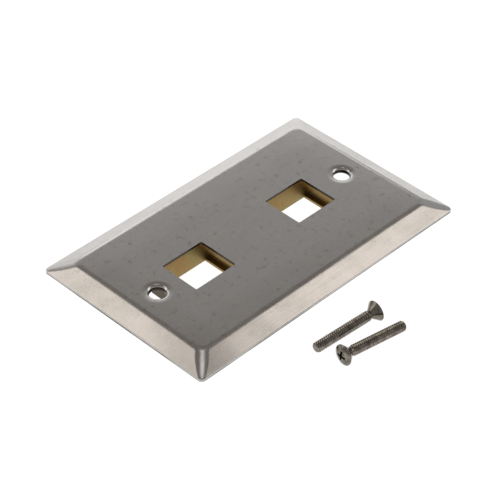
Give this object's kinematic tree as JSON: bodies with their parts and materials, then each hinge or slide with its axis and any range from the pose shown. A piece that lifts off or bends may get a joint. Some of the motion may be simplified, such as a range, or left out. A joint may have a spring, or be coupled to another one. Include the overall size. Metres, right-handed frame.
{
  "type": "wall plate cover",
  "caption": "Drawn stainless-steel wall plate with square keystone jack ports, housings behind them and loose oval-head fixing screws.",
  "frame": {"origin": "middle of the plate's front face, on its outer surface, between the two ports", "axes": "+X along the plate's long side, from the jacks' hook side to their latch side; +Y along its short side, away from the loose screws; +Z out of the front face, away from the wall"},
  "size_m": [0.1142, 0.0943, 0.0091],
  "materials": {
    "stainless_sheet": "fine brushed, lightly scuffed",
    "yellow_zinc": "steel plated with yellow-chromated zinc, satin",
    "screw_steel": "rolled thread, satin"
  },
  "bodies": {
    "plate": {"face_plate": "stainless_sheet", "port_housing_1": "yellow_zinc", "port_housing_2": "yellow_zinc"},
    "screw_1": {"fixing_screw_1": "screw_steel"},
    "screw_2": {"fixing_screw_2": "screw_steel"}
  },
  "joints": [
    {"name": "screw_1_lift", "type": "slide", "parent": "plate", "child": "screw_1", "axis": [0, 0, 1], "range_m": [0, 0.04]},
    {"name": "screw_2_lift", "type": "slide", "parent": "plate", "child": "screw_2", "axis": [0, 0, 1], "range_m": [0, 0.04]}
  ]
}
